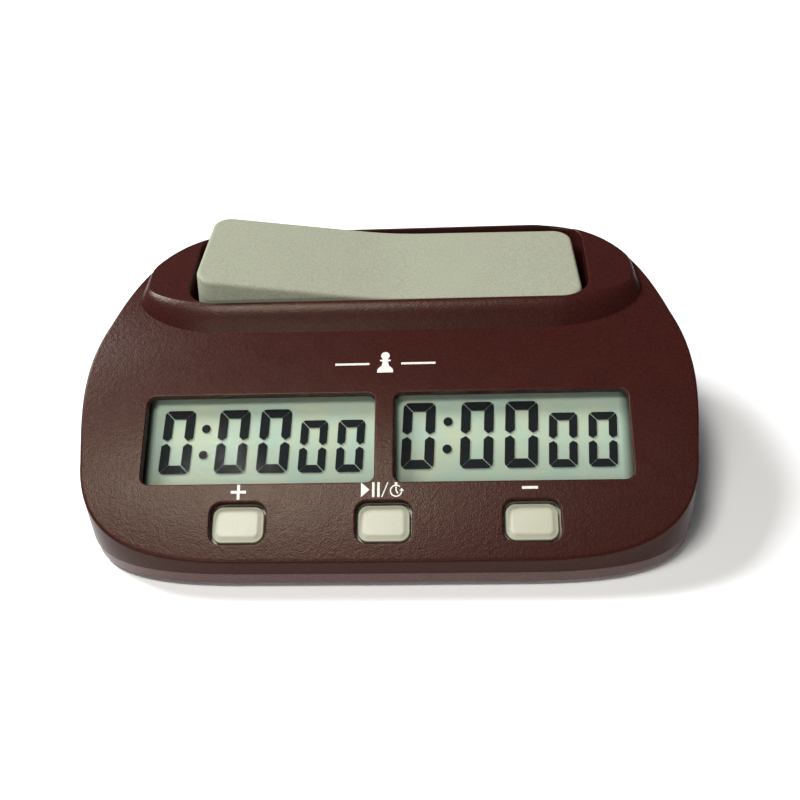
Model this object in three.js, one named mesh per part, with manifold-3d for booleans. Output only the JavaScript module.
// A digital chess clock: two-shell housing, rocker lever on a steel axle, two display windows and three keys.
// Millimetres. +X runs to the right of the player facing the displays, +Y from the front edge to the back,
// +Z up.
// Inside the model Y is counted from the front edge; the outer group puts the origin under the middle.
import * as THREE from "three";
import { mergeVertices } from "three/addons/utils/BufferGeometryUtils.js";
import Module from "manifold-3d";

const wasm = await Module();
wasm.setup();

// ---------------------------------------------------------------- driving dimensions
const DEPTH = 102.4; // front edge to back edge
const WALL = 2.2; // housing wall
const GAP = 0.3; // clearance between pieces that touch on the real clock

const FOOT_STANDOUT = 1.0; // how far the rubber feet lift the base
const BASE_FLOOR = 1.8; // thickness of the base's floor
const FLOOR_TOP = FOOT_STANDOUT + BASE_FLOOR;
const SEAM_Z = 5.2; // height of the joint between the two shells
const BASE_INSET = 0.5; // how far the base stands inside the upper shell's outline

const FACE_START_Z = 9.7; // height of the sloping face at its front edge
const FACE_RISE = 0.69; // slope of the face at the front edge
const FACE_BEND = 0.00363; // how fast that slope falls off towards the back
const HUMP_Z = 43.5; // top of the raised rear deck
const HUMP_ROUND = 5.2; // width of the rounded shoulder round the deck
const HUMP_DROP = 7.4; // how far that shoulder comes down

const PANEL_TILT = THREE.MathUtils.degToRad(27); // displays, board and keys lie in this slope
const PANEL_Y = 28.1; // centre of the display windows, from the front edge
const WINDOW = { inner: 2.5, outer: 62.3, half: 12.3, corner: 2.2 };
const KEY = { pitch: 36.7, u: -22.5, holeW: 14.2, holeH: 10.7, capW: 13, capH: 9.4, corner: 3 };
const LENS = { top: -3.15, thick: 0.75, inner: 0.7, outer: 64.1, half: 13.9 };
const LCD = { top: -4.2, front: 1.0, rear: 1.1, inner: 1.2, outer: 64.6, low: -14.6, high: 14.2, ledge: 2.4 };
const BOARD = { top: -8.6, thick: 1.2, low: -28, high: 20.8, half: 66.6 };

const ROCKER = { front: 65.0, back: 99.2, halfFront: 52.5, halfBack: 51.6, corner: 5.5 };
const ROCKER_TOP = 43.0; // height of the rocker's middle when it is level
const ROCKER_WING = THREE.MathUtils.degToRad(3.9); // each wing rises by this towards its end
const ROCKER_TILT = THREE.MathUtils.degToRad(4.4); // tilt to either side
const ROCKER_SKIRT = 33; // lower edge of the rocker's skirt
const WELL = { half: 54.9, front: 64.2, back: 99.9, corner: 8, wall: 1.8, low: 27 };
const AXLE = { z: 36, r: 1.5, from: 68.2, to: 95.8, running: 0.3 };

const BRACKET = { y: 82, base: 15, thick: 2, halfX: 47, halfY: 6.5, postX: 34, stopX: 44 };
const SWITCH = { x: 12, y: 88, size: 6.2, boardTop: 18.5, height: 5, reach: 29, plungerR: 1.5, plungerL: 7 };

const CELL = { r: 7.2, length: 50, y: 50.5, z: 10.6 }; // one AA cell
const BAY = { halfX: 30.5, halfY: 8.2, wall: 1.5, roof: 18.7 };
const DOOR = { halfX: 33, front: 41.4, back: 59.6, thick: 1.6, clear: 0.3 };
const HOUSING_SCREWS = [[-71.3, 36], [71.3, 36], [-60.5, 80], [60.5, 80]];
const FEET = [[-56, 16], [56, 16], [-50, 90], [50, 90]];
const BOARD_SCREWS = [[-18.3, -21.5], [18.3, -21.5], [-32, 18.3], [32, 18.3]];

// ---------------------------------------------------------------- materials
const plastic = (color, roughness = 0.6) =>
  new THREE.MeshStandardMaterial({ color, roughness, metalness: 0 });
const metal = (color, roughness = 0.3) => new THREE.MeshStandardMaterial({ color, roughness, metalness: 1 });
const MAT = {
  housing: plastic(0x3a1a18, 0.5),
  base: plastic(0x35191a, 0.55),
  key: plastic(0xc9c8b0, 0.45),
  lens: new THREE.MeshStandardMaterial({ color: 0xf4f8f6, roughness: 0.05, transparent: true, opacity: 0.3 }),
  lcd: plastic(0x9aa893, 0.2),
  frame: plastic(0xdedcd2, 0.6),
  board: plastic(0x1f5c34, 0.4),
  rubber: plastic(0x1b1b1d, 0.9),
  switch: plastic(0x17181a, 0.5),
  plunger: plastic(0xd8d2c4, 0.5),
  steel: metal(0xb9bcc0),
  spring: metal(0xc7c9cb, 0.25),
  cell: plastic(0x2c5d3c, 0.35),
  brass: metal(0xb99a4a, 0.35),
  wireRed: plastic(0xa31b1b, 0.5),
  wireBlack: plastic(0x141414, 0.5),
};

// ---------------------------------------------------------------- geometry helpers
// A closed geometry as a manifold solid.
function solid(geometry) {
  const bare = geometry.index ? geometry.toNonIndexed() : geometry.clone();
  bare.deleteAttribute("normal");
  bare.deleteAttribute("uv");
  const merged = mergeVertices(bare, 1e-4);
  return new wasm.Manifold(
    new wasm.Mesh({
      numProp: 3,
      vertProperties: merged.attributes.position.array,
      triVerts: new Uint32Array(merged.index.array),
    }),
  );
}

// A manifold solid as a three.js geometry.
function geometryOf(made) {
  const mesh = made.getMesh();
  const geometry = new THREE.BufferGeometry()
    .setAttribute("position", new THREE.BufferAttribute(mesh.vertProperties, 3))
    .setIndex(new THREE.BufferAttribute(mesh.triVerts, 1));
  geometry.computeVertexNormals();
  return geometry;
}

const unite = (first, ...rest) => rest.reduce((sum, next) => sum.add(next), first);
const cut = (first, ...rest) => rest.reduce((left, next) => left.subtract(next), first);

// A box between two corners.
function box(x0, x1, y0, y1, z0, z1) {
  const geometry = new THREE.BoxGeometry(x1 - x0, y1 - y0, z1 - z0);
  return solid(geometry.translate((x0 + x1) / 2, (y0 + y1) / 2, (z0 + z1) / 2));
}

// A round bar from one point along an axis, "x", "y" or "z".
function rod(x, y, z, radius, length, axis = "z", sides = 20, endRadius = radius) {
  const geometry = new THREE.CylinderGeometry(endRadius, radius, length, sides).translate(0, length / 2, 0);
  if (axis === "z") geometry.rotateX(Math.PI / 2);
  if (axis === "x") geometry.rotateZ(-Math.PI / 2);
  return solid(geometry.translate(x, y, z));
}

// A plan shape raised from one height to another.
function prism(shape, z0, z1, curveSegments = 6) {
  const geometry = new THREE.ExtrudeGeometry(shape, { depth: z1 - z0, bevelEnabled: false, curveSegments });
  return solid(geometry.translate(0, 0, z0));
}

// A profile drawn in Y and Z, run along X.
function alongX(points, x0, x1) {
  const shape = new THREE.Shape(points.map(([y, z]) => new THREE.Vector2(y, z)));
  const geometry = new THREE.ExtrudeGeometry(shape, { depth: x1 - x0, bevelEnabled: false });
  const turn = new THREE.Matrix4().makeBasis(
    new THREE.Vector3(0, 1, 0),
    new THREE.Vector3(0, 0, 1),
    new THREE.Vector3(1, 0, 0),
  );
  return solid(geometry.applyMatrix4(turn).translate(x0, 0, 0));
}

// A profile drawn in X and Z, run along Y.
function alongY(points, y0, y1) {
  const shape = new THREE.Shape(points.map(([x, z]) => new THREE.Vector2(x, z)));
  const geometry = new THREE.ExtrudeGeometry(shape, { depth: y1 - y0, bevelEnabled: false });
  return solid(geometry.rotateX(Math.PI / 2).translate(0, y1, 0));
}

// A rectangle with round corners, centred on a point.
function roundedRect(cx, cy, width, height, corner) {
  const [x, y] = [width / 2 - corner, height / 2 - corner];
  const shape = new THREE.Shape();
  shape.absarc(cx + x, cy + y, corner, 0, Math.PI / 2);
  shape.absarc(cx - x, cy + y, corner, Math.PI / 2, Math.PI);
  shape.absarc(cx - x, cy - y, corner, Math.PI, 1.5 * Math.PI);
  shape.absarc(cx + x, cy - y, corner, 1.5 * Math.PI, 2 * Math.PI);
  return shape;
}

// The points of a plan outline from its right half, which runs from the front middle to the back middle.
function wholeOutline(halfShape, segments = 8) {
  const right = halfShape.getPoints(segments);
  const left = right.filter((p) => p.x > 1e-6).map((p) => new THREE.Vector2(-p.x, p.y));
  return [...right, ...left.reverse()];
}

// An outline moved inwards along its own normals.
function inset(points, amount) {
  const n = points.length;
  return points.map((p, i) => {
    const before = points[(i + n - 1) % n];
    const after = points[(i + 1) % n];
    const a = new THREE.Vector2().subVectors(p, before).normalize();
    const b = new THREE.Vector2().subVectors(after, p).normalize();
    const bisector = new THREE.Vector2(-(a.y + b.y), a.x + b.x).normalize();
    const turn = bisector.dot(new THREE.Vector2(-b.y, b.x));
    return p.clone().addScaledVector(bisector, amount / Math.max(0.5, turn));
  });
}

// A closed solid through level rings of equally many points, from the lowest ring to the highest.
function loft(rings) {
  const n = rings[0].points.length;
  const at = (ring, i) => [ring.points[i % n].x, ring.points[i % n].y, ring.z];
  const triangles = [];
  for (let k = 0; k + 1 < rings.length; k++)
    for (let i = 0; i < n; i++) {
      const [a, b] = [at(rings[k], i), at(rings[k], i + 1)];
      const [c, d] = [at(rings[k + 1], i + 1), at(rings[k + 1], i)];
      triangles.push(a, b, c, a, c, d);
    }
  const caps = THREE.ShapeUtils.triangulateShape(rings[0].points, []);
  for (const [i, j, k] of caps) {
    triangles.push(at(rings[0], k), at(rings[0], j), at(rings[0], i));
    const top = rings[rings.length - 1];
    triangles.push(at(top, i), at(top, j), at(top, k));
  }
  const geometry = new THREE.BufferGeometry();
  geometry.setAttribute("position", new THREE.Float32BufferAttribute(triangles.flat(), 3));
  return solid(geometry);
}

// A round wire along a smooth path.
function wire(points, radius, sides = 8, steps = 4 * points.length) {
  const section = new THREE.Shape();
  section.absarc(0, 0, radius, 0, 2 * Math.PI);
  const path = new THREE.CatmullRomCurve3(points.map((p) => new THREE.Vector3(...p)));
  return new THREE.ExtrudeGeometry(section, {
    steps,
    curveSegments: sides / 2,
    bevelEnabled: false,
    extrudePath: path,
  });
}

// ---------------------------------------------------------------- the outlines in plan
function bodyOutline() {
  const half = new THREE.Shape();
  half.moveTo(0, 0);
  half.lineTo(36, 0.1);
  half.bezierCurveTo(63, 0.2, 77.4, 5, 78.5, 23);
  half.bezierCurveTo(79.6, 34, 82.0, 46.5, 76, 62);
  half.bezierCurveTo(70.8, 78, 63.4, 102.2, 40, 102.4);
  half.lineTo(0, 102.4);
  return wholeOutline(half);
}

function deckOutline() {
  const half = new THREE.Shape();
  half.moveTo(0, 57.7);
  half.lineTo(44, 57.9);
  half.bezierCurveTo(60, 58, 73.6, 65, 70.9, 74);
  half.bezierCurveTo(68.6, 82, 62.6, 101.4, 40, 101.5);
  half.lineTo(0, 101.5);
  return wholeOutline(half);
}

const OUTLINE = bodyOutline();
const DECK = deckOutline();
const faceHeight = (y) => FACE_START_Z + FACE_RISE * y - FACE_BEND * y * y;

// The sloping face as a profile in Y and Z, lowered by some amount.
function faceProfile(lowered, from = -4, to = DEPTH + 4, steps = 18) {
  const curve = Array.from({ length: steps + 1 }, (_, i) => {
    const y = from + ((to - from) * i) / steps;
    return [y, faceHeight(Math.max(0, y)) - lowered];
  });
  return [...curve.reverse(), [from, -5], [to, -5]];
}

// The raised deck with its rounded shoulder, shrunk by some amount on every side.
function deckSolid(shrink, steps = 5) {
  const rings = [{ points: inset(DECK, shrink), z: FACE_START_Z }];
  for (let i = 0; i <= steps; i++) {
    const angle = ((Math.PI / 2) * i) / steps;
    rings.push({
      points: inset(DECK, shrink + HUMP_ROUND * (1 - Math.cos(angle))),
      z: HUMP_Z - HUMP_DROP * (1 - Math.sin(angle)) - shrink,
    });
  }
  return loft(rings);
}

// The upper shell's outer form, or its inside when it is shrunk by the wall.
function shellForm(shrink, low) {
  const walls = loft([
    { points: inset(OUTLINE, shrink), z: low },
    { points: inset(OUTLINE, shrink), z: HUMP_Z + 10 },
  ]);
  const slope = alongX(faceProfile(shrink * 1.12), -90, 90);
  return walls.intersect(slope).add(deckSolid(shrink).intersect(walls));
}

// ---------------------------------------------------------------- the tilted panel's own frame
const panelMatrix = new THREE.Matrix4()
  .makeRotationX(PANEL_TILT)
  .setPosition(0, PANEL_Y, faceHeight(PANEL_Y));

// A solid made in the panel's frame (u up the slope as Y, n out of the face as Z), carried to the body.
function onPanel(made) {
  return solid(geometryOf(made).applyMatrix4(panelMatrix));
}

const windowCentre = (WINDOW.inner + WINDOW.outer) / 2;
const windowWidth = WINDOW.outer - WINDOW.inner;
const keyPlaces = { plus: -KEY.pitch, play: 0, minus: KEY.pitch };

// ---------------------------------------------------------------- upper shell
function upperHousing() {
  const outer = shellForm(0, SEAM_Z + GAP / 2);
  let shell = outer.subtract(shellForm(WALL, 0));

  // Window surround, well wall and bosses, all kept inside the outer form.
  const surround = onPanel(box(-65.5, 65.5, -14.6, 14.6, LENS.top + GAP, -1.4));
  const wellWidth = 2 * WELL.half;
  const wellDepth = WELL.back - WELL.front;
  const wellY = (WELL.front + WELL.back) / 2;
  const wellWall = prism(
    roundedRect(0, wellY, wellWidth + 2 * WELL.wall, wellDepth + 2 * WELL.wall, WELL.corner + WELL.wall),
    WELL.low,
    HUMP_Z,
  );
  const added = [surround, wellWall];
  for (const [x, y] of HOUSING_SCREWS) added.push(rod(x, y, 9.3, 3.4, 40, "z", 16));
  for (const [x, u] of BOARD_SCREWS) added.push(onPanel(rod(x, u, BOARD.top + GAP, 2.4, 6.6, "z", 12)));
  shell = shell.add(unite(...added).intersect(outer));

  // Openings.
  const well = prism(roundedRect(0, wellY, wellWidth, wellDepth, WELL.corner), WELL.low - 1, HUMP_Z + 5);
  const holes = [well];
  for (const side of [-1, 1]) {
    const window = roundedRect(side * windowCentre, 0, windowWidth, 2 * WINDOW.half, WINDOW.corner);
    holes.push(onPanel(prism(window, -5, 6)));
  }
  for (const x of Object.values(keyPlaces))
    holes.push(onPanel(prism(roundedRect(x, KEY.u, KEY.holeW, KEY.holeH, KEY.corner), -5, 6)));
  for (const [x, y] of HOUSING_SCREWS) holes.push(rod(x, y, 0, 1.6, 17, "z", 12));
  for (const [x, u] of BOARD_SCREWS) holes.push(onPanel(rod(x, u, -10, 1.3, 5.6, "z", 10)));
  return cut(shell, ...holes);
}

// ---------------------------------------------------------------- base
function lowerHousing() {
  const bossLow = FLOOR_TOP - 1;
  const rim = inset(OUTLINE, BASE_INSET);
  const top = SEAM_Z - GAP / 2;
  let base = loft([
    { points: inset(rim, 1.0), z: FOOT_STANDOUT },
    { points: inset(rim, 0.3), z: FOOT_STANDOUT + 0.4 },
    { points: rim, z: FOOT_STANDOUT + 1.2 },
    { points: rim, z: top },
  ]);
  const inside = inset(rim, WALL);
  base = base.subtract(loft([{ points: inside, z: FLOOR_TOP }, { points: inside, z: 20 }]));

  // Tongue that locates the upper shell.
  const tongueOuter = inset(OUTLINE, WALL + GAP);
  const tongueInner = inset(OUTLINE, WALL + GAP + 1.2);
  const tongue = loft([{ points: tongueOuter, z: FLOOR_TOP - 1 }, { points: tongueOuter, z: SEAM_Z + 1.6 }]);
  base = base.add(
    tongue.subtract(loft([{ points: tongueInner, z: 0 }, { points: tongueInner, z: 20 }])),
  );

  // Battery bay, door surround, bracket posts and screw towers.
  const { y } = CELL;
  const outerX = BAY.halfX + BAY.wall;
  const outerY = BAY.halfY + BAY.wall;
  const added = [
    box(-outerX, outerX, y - outerY, y + outerY, FLOOR_TOP - 1, BAY.roof + BAY.wall),
    box(-DOOR.halfX - 4, DOOR.halfX + 4, DOOR.front - 4.4, DOOR.back + 4.4, FLOOR_TOP - 1, 4.4),
    rod(-54, 60, FLOOR_TOP - 1, 11, 2.6, "z", 24),
  ];
  for (const side of [-1, 1])
    added.push(rod(side * BRACKET.postX, BRACKET.y, bossLow, 3.5, BRACKET.base - GAP - bossLow, "z", 16));
  for (const [x, sy] of HOUSING_SCREWS) added.push(rod(x, sy, bossLow, 4.4, 9 - bossLow, "z", 16));
  for (const [x, fy] of FEET) added.push(rod(x, fy, FLOOR_TOP - 1, 6.4, 2.2, "z", 20));

  const recess = DOOR.thick + DOOR.clear;
  const holes = [
    box(-BAY.halfX, BAY.halfX, y - BAY.halfY, y + BAY.halfY, 0, BAY.roof),
    box(-DOOR.halfX - 0.3, DOOR.halfX + 0.3, DOOR.front - 0.3, DOOR.back + 0.3, 0, FOOT_STANDOUT + recess),
    box(-6, 6, DOOR.back - 2, DOOR.back + 3.4, 0, 9), // finger notch behind the latch
    rod(-54, 60, FLOOR_TOP + 0.3, 9.8, 9, "z", 24), // seat of the sounder
  ];
  for (const side of [-1, 1]) {
    // slots for the hinge tabs
    holes.push(box(side * 18 - 4.5, side * 18 + 4.5, DOOR.front - 2.9, DOOR.front + 1.2, 1.5, 9));
    holes.push(rod(side * BRACKET.postX, BRACKET.y, 5, 1.3, 12, "z", 10));
    const tab = side * (BAY.halfX - 0.5);
    // slots for the contacts' tabs
    holes.push(box(tab - 0.6, tab + 0.6, CELL.y - 1.9, CELL.y + 1.9, BAY.roof - 1, BAY.roof + 3));
  }
  for (let i = 0; i < 6; i++) {
    const angle = (i * Math.PI) / 3;
    holes.push(rod(-54 + 4.5 * Math.cos(angle), 60 + 4.5 * Math.sin(angle), 0, 0.9, 6, "z", 8));
  }
  for (const [x, sy] of HOUSING_SCREWS)
    holes.push(rod(x, sy, 0, 3.3, 7, "z", 16), rod(x, sy, 0, 1.7, 12, "z", 12));
  for (const [x, fy] of FEET) holes.push(rod(x, fy, 0, 5.3, 2.3, "z", 20));
  return cut(unite(base, ...added), ...holes);
}

// ---------------------------------------------------------------- rocker, in its level position
function rockerShape(shrink) {
  const half = new THREE.Shape();
  const { front, back, halfFront, halfBack, corner: r } = ROCKER;
  const reach = 0.5523 * r; // handle of a quarter-circle curve
  half.moveTo(0, front + shrink);
  half.lineTo(halfFront - r, front + shrink);
  half.bezierCurveTo(
    halfFront - r + reach, front + shrink,
    halfFront - shrink, front + r - reach,
    halfFront - shrink, front + r,
  );
  half.lineTo(halfBack - shrink, back - r);
  half.bezierCurveTo(
    halfBack - shrink, back - r + reach,
    halfBack - r + reach, back - shrink,
    halfBack - r, back - shrink,
  );
  half.lineTo(0, back - shrink);
  return wholeOutline(half, 5);
}

// Top line of the rocker: two wings that meet in a soft valley.
function rockerLine(lowered) {
  const valley = 9;
  const slope = Math.tan(ROCKER_WING);
  const line = [];
  for (let i = -6; i <= 6; i++) {
    const x = Math.abs(i) === 6 ? Math.sign(i) * 60 : (valley * i) / 5;
    const reach = Math.abs(x);
    const rise = reach < valley ? (slope * (x * x + valley * valley)) / (2 * valley) : slope * reach;
    line.push([x, ROCKER_TOP - (slope * valley) / 2 + rise - lowered]);
  }
  return line;
}

function rockerBody(shrink, low) {
  const column = loft([{ points: rockerShape(shrink), z: low }, { points: rockerShape(shrink), z: 60 }]);
  const under = alongY([...rockerLine(shrink * 1.1).reverse(), [-60, low - 1], [60, low - 1]], 50, 120);
  return column.intersect(under);
}

function rocker() {
  const outer = rockerBody(0, ROCKER_SKIRT);
  const shell = outer.subtract(rockerBody(1.8, ROCKER_SKIRT - 3));
  const hubs = [72, 90].map((y) =>
    unite(box(-5, 5, y, y + 2, AXLE.z, ROCKER_TOP - 1), rod(0, y, AXLE.z, 5, 2, "y", 20)),
  );
  const [high, tip] = [ROCKER_TOP - 1, AXLE.z - 8.4];
  const nose = alongY(
    [[-2.5, high], [-2.5, tip + 2.4], [-0.8, tip], [0.8, tip], [2.5, tip + 2.4], [2.5, high]],
    76.5,
    79.5,
  );
  const ribs = [];
  for (const side of [-1, 1]) {
    ribs.push(box(side * SWITCH.x - 1.2, side * SWITCH.x + 1.2, 84, 98, SWITCH.reach, high));
    const stop = side * BRACKET.stopX;
    ribs.push(box(stop - 0.8, stop + 0.8, 66.5, 98, ROCKER_SKIRT, ROCKER_TOP + 1));
  }
  const inside = unite(...hubs, nose, ...ribs).intersect(rockerBody(0.9, 15));
  return shell.add(inside).subtract(rod(0, 60, AXLE.z, AXLE.r + AXLE.running, 50, "y", 20));
}

// ---------------------------------------------------------------- rocker bracket and its fittings
function pivotBracket() {
  const { y, base, thick, halfX, halfY, postX, stopX } = BRACKET;
  const high = AXLE.z;
  const right = [[8, base], [8, high - 14], [4, high + 1], [2, high + 3]];
  const cheek = [...right, ...right.map(([x, z]) => [-x, z]).reverse()];
  const stopTop = ROCKER_SKIRT - stopX * Math.sin(ROCKER_TILT) - GAP;
  const parts = [
    box(-halfX, halfX, y - halfY, y + halfY, base, base + thick),
    box(-19, 19, 69, 95, base, base + thick),
    alongY(cheek, 69, 71),
    alongY(cheek, 93, 95),
  ];
  for (const side of [-1, 1]) {
    const [a, b] = [side * stopX - 2, side * stopX + 2];
    parts.push(box(a, b, y - 5, y + 5, base, stopTop));
  }
  const holes = [rod(0, 60, AXLE.z, AXLE.r + 0.1, 50, "y", 20)];
  for (const side of [-1, 1]) holes.push(rod(side * postX, y, 0, 1.5, 30, "z", 10));
  return cut(unite(...parts), ...holes);
}

// Arched leaf spring that the rocker's nose snaps across.
function detentSpring() {
  const [thick, foot, apex] = [0.4, BRACKET.base + BRACKET.thick + GAP, AXLE.z - 8.8];
  const top = [];
  for (let i = 0; i <= 12; i++) {
    const x = -15 + 2.5 * i;
    top.push([x, foot + thick + (apex - foot - thick) * Math.cos((Math.PI * x) / 30) ** 2]);
  }
  const line = [[-18, foot + thick], ...top, [18, foot + thick]];
  return alongY([...line, ...line.map(([x, z]) => [x, z - thick]).reverse()], 75.5, 80.5);
}

function switchBody(side) {
  const { x, y, size, boardTop, height } = SWITCH;
  const [cx, h] = [side * x, size / 2];
  const body = box(cx - h, cx + h, y - h, y + h, boardTop + GAP, boardTop + height);
  return body.subtract(rod(cx, y, boardTop + 1.6, SWITCH.plungerR + 0.3, 10, "z", 16));
}

function switchPlunger(side) {
  // At rest the rocker's right end is down, so the right plunger is pressed and the left one stands up.
  const top = SWITCH.reach - side * SWITCH.x * Math.sin(ROCKER_TILT) - GAP;
  return rod(side * SWITCH.x, SWITCH.y, top - SWITCH.plungerL, SWITCH.plungerR, SWITCH.plungerL, "z", 16);
}

// ---------------------------------------------------------------- keys
function keyCap(x) {
  const { u, capW, capH, corner } = KEY;
  const outline = (grow) =>
    roundedRect(x, u, capW + 2 * grow, capH + 2 * grow, corner - 0.4 + grow).getPoints(3).slice(0, -1);
  const tidy = (points) => points.filter((p, i) => p.distanceTo(points[(i + 1) % points.length]) > 1e-3);
  const ring = (grow, z) => ({ points: tidy(outline(grow)), z });
  const cap = loft([ring(0, -4.6), ring(0, -2.9), ring(-0.35, -2.4), ring(-1, -2.05), ring(-2.1, -1.9)]);
  const flange = prism(roundedRect(x, u, capW + 3.2, capH + 2.6, corner), -5.2, -4.3);
  return cap.add(flange);
}

function keySwitchBody(x) {
  const body = box(x - 3.1, x + 3.1, KEY.u - 3.1, KEY.u + 3.1, BOARD.top + GAP, -6.1);
  return body.subtract(rod(x, KEY.u, -8.1, 1.9, 6, "z", 16));
}

const keyPlunger = (x) => rod(x, KEY.u, -7.5, 1.6, 2.0, "z", 16);

// ---------------------------------------------------------------- displays and board
const sideBox = (side, inner, outer, ...rest) =>
  box(side > 0 ? inner : -outer, side > 0 ? outer : -inner, ...rest);

const lens = (side) =>
  sideBox(side, LENS.inner, LENS.outer, -LENS.half, LENS.half, LENS.top - LENS.thick, LENS.top);

function lcdPanel(side) {
  const { top, front, rear, inner, outer, low, high, ledge } = LCD;
  return unite(
    sideBox(side, inner, outer, low, high, top - front, top),
    sideBox(side, inner, outer, low + ledge, high, top - front - rear, top - front + 0.2),
  );
}

const zebraStrip = (side) =>
  sideBox(
    side,
    LCD.inner + 2,
    LCD.outer - 2,
    LCD.low + 0.3,
    LCD.low + 2.0,
    BOARD.top + GAP,
    LCD.top - LCD.front - GAP,
  );

function displayFrame() {
  const outer = box(-66.4, 66.4, -16, 15.5, BOARD.top + GAP, LCD.top - 0.1);
  const slot = (side) =>
    sideBox(side, LCD.inner - 0.3, LCD.outer + 0.3, LCD.low - 0.3, LCD.high + 0.3, -12, 0);
  return cut(outer, slot(-1), slot(1));
}

function mainBoard() {
  const shape = new THREE.Shape();
  const { low, high, half, top, thick } = BOARD;
  const front = 46;
  [[-front, low], [front, low], [half, low + 10], [half, high], [-half, high], [-half, low + 10]].forEach(
    ([x, u], i) => (i ? shape.lineTo(x, u) : shape.moveTo(x, u)),
  );
  const plate = prism(shape, top - thick, top);
  return cut(plate, ...BOARD_SCREWS.map(([x, u]) => rod(x, u, -12, 1.35, 6, "z", 10)));
}

// ---------------------------------------------------------------- battery parts
function cell() {
  const { r, length, y, z } = CELL;
  const can = rod(-length / 2 + 0.3, y, z, r, length - 2, "x", 24);
  return can.add(rod(length / 2 - 2, y, z, 2.7, 1.4, "x", 16));
}

function batterySpring() {
  const turns = 4;
  const [from, to] = [-BAY.halfX + 1.1, -CELL.length / 2 - 0.4];
  const points = [];
  for (let i = 0; i <= turns * 10; i++) {
    const share = i / (turns * 10);
    const angle = 2 * Math.PI * turns * share;
    const r = 5 - 2.2 * share;
    points.push([from + (to - from) * share, CELL.y + r * Math.cos(angle), CELL.z + r * Math.sin(angle)]);
  }
  return wire(points, 0.35, 6, turns * 14);
}

// A contact plate with a solder tab that stands up through the bay's roof.
const contactPlate = (x) =>
  unite(
    box(x, x + 0.4, CELL.y - 6.5, CELL.y + 6.5, CELL.z - 6.5, CELL.z + 7.4),
    box(x, x + 0.4, CELL.y - 1.5, CELL.y + 1.5, CELL.z, BAY.roof + 3.3),
  );

function batteryDoor() {
  const { halfX, front, back, thick } = DOOR;
  const low = FOOT_STANDOUT;
  const plate = box(-halfX, halfX, front, back, low, low + thick);
  const tabs = [-18, 18].map((x) => box(x - 3.5, x + 3.5, front - 2.2, front + 0.6, low + 0.8, low + thick));
  const latch = box(-4.5, 4.5, back - 0.9, back + 0.1, low + 0.4, low + 6);
  const ribTop = low + thick + 0.35;
  const ribs = [-20, 20].map((x) => box(x - 0.6, x + 0.6, CELL.y - 5.5, CELL.y + 5.5, low + 1, ribTop));
  const gripBacks = [3.7, 5.5, 7.3, 9.1].map((distance) => back - distance);
  const grip = gripBacks.map((y) => box(-9, 9, y - 0.7, y, low - 1, low + 0.4));
  return cut(unite(plate, ...tabs, latch, ...ribs), ...grip);
}

// ---------------------------------------------------------------- wiring
// Each lead runs from its pad to just under the main board.
const batteryLead = (side) =>
  wire(
    [
      [side * 30, 50.5, 22.4],
      [side * 30.3, 50, 23.4],
      [side * 28.6, 48, 22.6],
      [side * 27, 46, 22.7],
      [side * 26.6, 45.2, 23.4],
    ],
    0.5,
    6,
    10,
  );

const sounderLead = () =>
  wire([[-50, 57, 6.7], [-50.4, 55, 9], [-52, 50, 13], [-51, 47.5, 18], [-49, 46, 23.7]], 0.6, 6, 12);

// A flat cable from the front edge of the switch board up to the main board.
function switchCable() {
  const upper = [[83.6, 18.9], [74, 19.8], [64, 21.2], [58, 22], [52.5, 23.2], [49.4, 25.4]];
  const lower = upper.map(([y, z]) => [y - 0.35, z - 0.7]);
  return alongX([...upper, ...lower.reverse()], 13, 16.6);
}

// ---------------------------------------------------------------- fasteners and feet
// A pan-head screw standing on its head, with its shank going up from a height.
function screw(x, y, z, headR, headH, shankR, length) {
  const head = rod(x, y, z - headH, headR * 0.8, headH, "z", 12, headR);
  const shank = rod(x, y, z - 0.2, shankR, length, "z", 8);
  const tip = rod(x, y, z - 0.25 + length, shankR, 1.4, "z", 8, shankR * 0.25);
  const slot = (a, b) => box(x - a, x + a, y - b, y + b, z - headH - 1, z - headH + 0.7);
  return cut(unite(head, shank, tip), slot(headR * 0.55, 0.28), slot(0.28, headR * 0.55));
}

const foot = (x, y) => rod(x, y, 0, 4.6, 2.0, "z", 24, 5.0);

// ---------------------------------------------------------------- assembly
const clock = new THREE.Group();
const body = new THREE.Group();
body.position.y = -DEPTH / 2;
clock.add(body);

const panel = new THREE.Group();
panel.position.set(0, PANEL_Y, faceHeight(PANEL_Y));
panel.rotation.x = PANEL_TILT;
body.add(panel);

// The rocker group turns about the axle; its rest is with the right end pressed down.
const rockerPivot = new THREE.Group();
rockerPivot.position.set(0, 0, AXLE.z);
rockerPivot.rotation.y = ROCKER_TILT;
body.add(rockerPivot);

function add(parent, name, made, material) {
  const geometry = made.isBufferGeometry ? made : geometryOf(made);
  const mesh = new THREE.Mesh(geometry, material);
  mesh.name = name;
  parent.add(mesh);
  return mesh;
}

add(body, "upper_housing", upperHousing(), MAT.housing);
add(body, "lower_housing", lowerHousing(), MAT.base);
add(rockerPivot, "rocker", rocker(), MAT.key).position.z = -AXLE.z;

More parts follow.
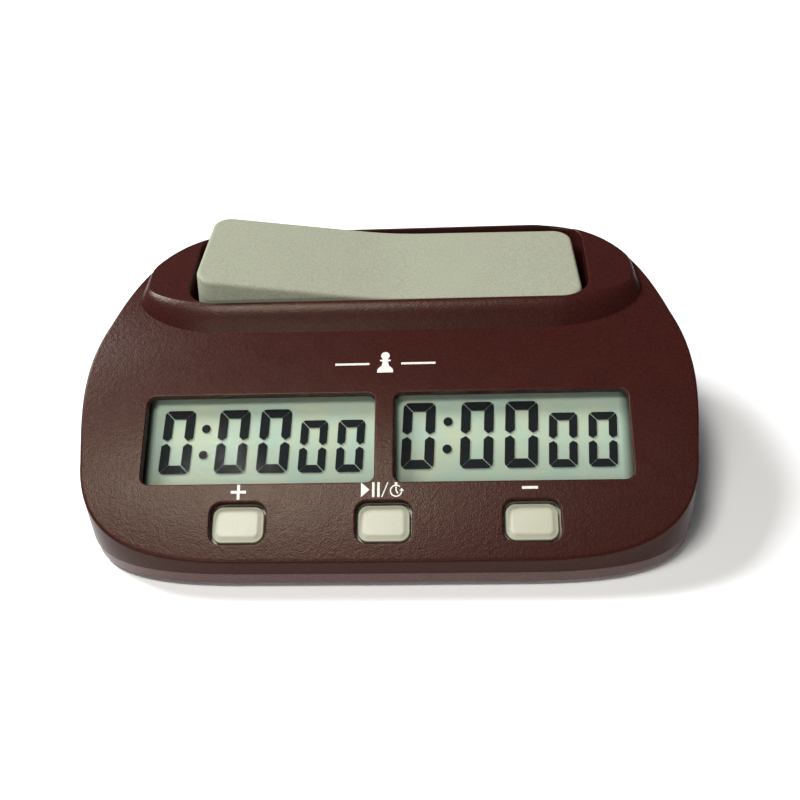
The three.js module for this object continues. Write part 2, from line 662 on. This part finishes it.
add(body, "rocker_axle", rod(0, AXLE.from, AXLE.z, AXLE.r, AXLE.to - AXLE.from, "y", 20), MAT.steel);
add(body, "pivot_bracket", pivotBracket(), MAT.frame);
add(body, "detent_spring", detentSpring(), MAT.spring);
const switchBoardLow = BRACKET.base + BRACKET.thick + GAP;
add(body, "switch_board", box(-17, 17, 84, 92, switchBoardLow, SWITCH.boardTop), MAT.board);
for (const [name, side] of [["left", -1], ["right", 1]]) {
  add(body, `rocker_switch_${name}`, switchBody(side), MAT.switch);
  add(body, `switch_plunger_${name}`, switchPlunger(side), MAT.plunger);
  add(panel, `window_lens_${name}`, lens(side), MAT.lens);
  add(panel, `lcd_panel_${name}`, lcdPanel(side), MAT.lcd);
  add(panel, `zebra_strip_${name}`, zebraStrip(side), MAT.rubber);
}
add(panel, "display_frame", displayFrame(), MAT.frame);
add(panel, "main_board", mainBoard(), MAT.board);
for (const [name, x] of Object.entries(keyPlaces)) {
  add(panel, `button_${name}`, keyCap(x), MAT.key);
  add(panel, `key_plunger_${name}`, keyPlunger(x), MAT.plunger);
  add(panel, `key_switch_${name}`, keySwitchBody(x), MAT.switch);
}

add(body, "battery", cell(), MAT.cell);
add(body, "battery_spring", batterySpring(), MAT.spring);
add(body, "battery_contact_negative", contactPlate(-BAY.halfX + 0.3), MAT.spring);
add(body, "battery_contact_positive", contactPlate(BAY.halfX - 0.7), MAT.brass);
add(body, "battery_door", batteryDoor(), MAT.base);
add(body, "battery_lead_negative", batteryLead(-1), MAT.wireBlack);
add(body, "battery_lead_positive", batteryLead(1), MAT.wireRed);
add(body, "sounder_lead", sounderLead(), MAT.wireBlack);
add(body, "switch_cable", switchCable(), MAT.frame);
add(body, "sounder", rod(-54, 60, FLOOR_TOP + 0.6, 9.4, 2.4, "z", 24), MAT.switch);

const corner = ["front_left", "front_right", "rear_left", "rear_right"];
HOUSING_SCREWS.forEach(([x, y], i) =>
  add(body, `housing_screw_${corner[i]}`, screw(x, y, 6.7, 2.9, 1.8, 1.3, 9), MAT.steel),
);
FEET.forEach(([x, y], i) => add(body, `foot_${corner[i]}`, foot(x, y), MAT.rubber));
const boardScrewTop = BOARD.top - BOARD.thick - GAP;
BOARD_SCREWS.forEach(([x, u], i) =>
  add(panel, `board_screw_${corner[i]}`, screw(x, u, boardScrewTop, 2.2, 1.2, 1.0, 4.2), MAT.steel),
);
for (const [name, side] of [["left", -1], ["right", 1]]) {
  const place = add(body, `bracket_screw_${name}`, screw(0, 0, 0, 2.6, 1.5, 1.0, 8), MAT.steel);
  place.rotation.x = Math.PI;
  place.position.set(side * BRACKET.postX, BRACKET.y, BRACKET.base + BRACKET.thick + GAP);
}

export default clock;
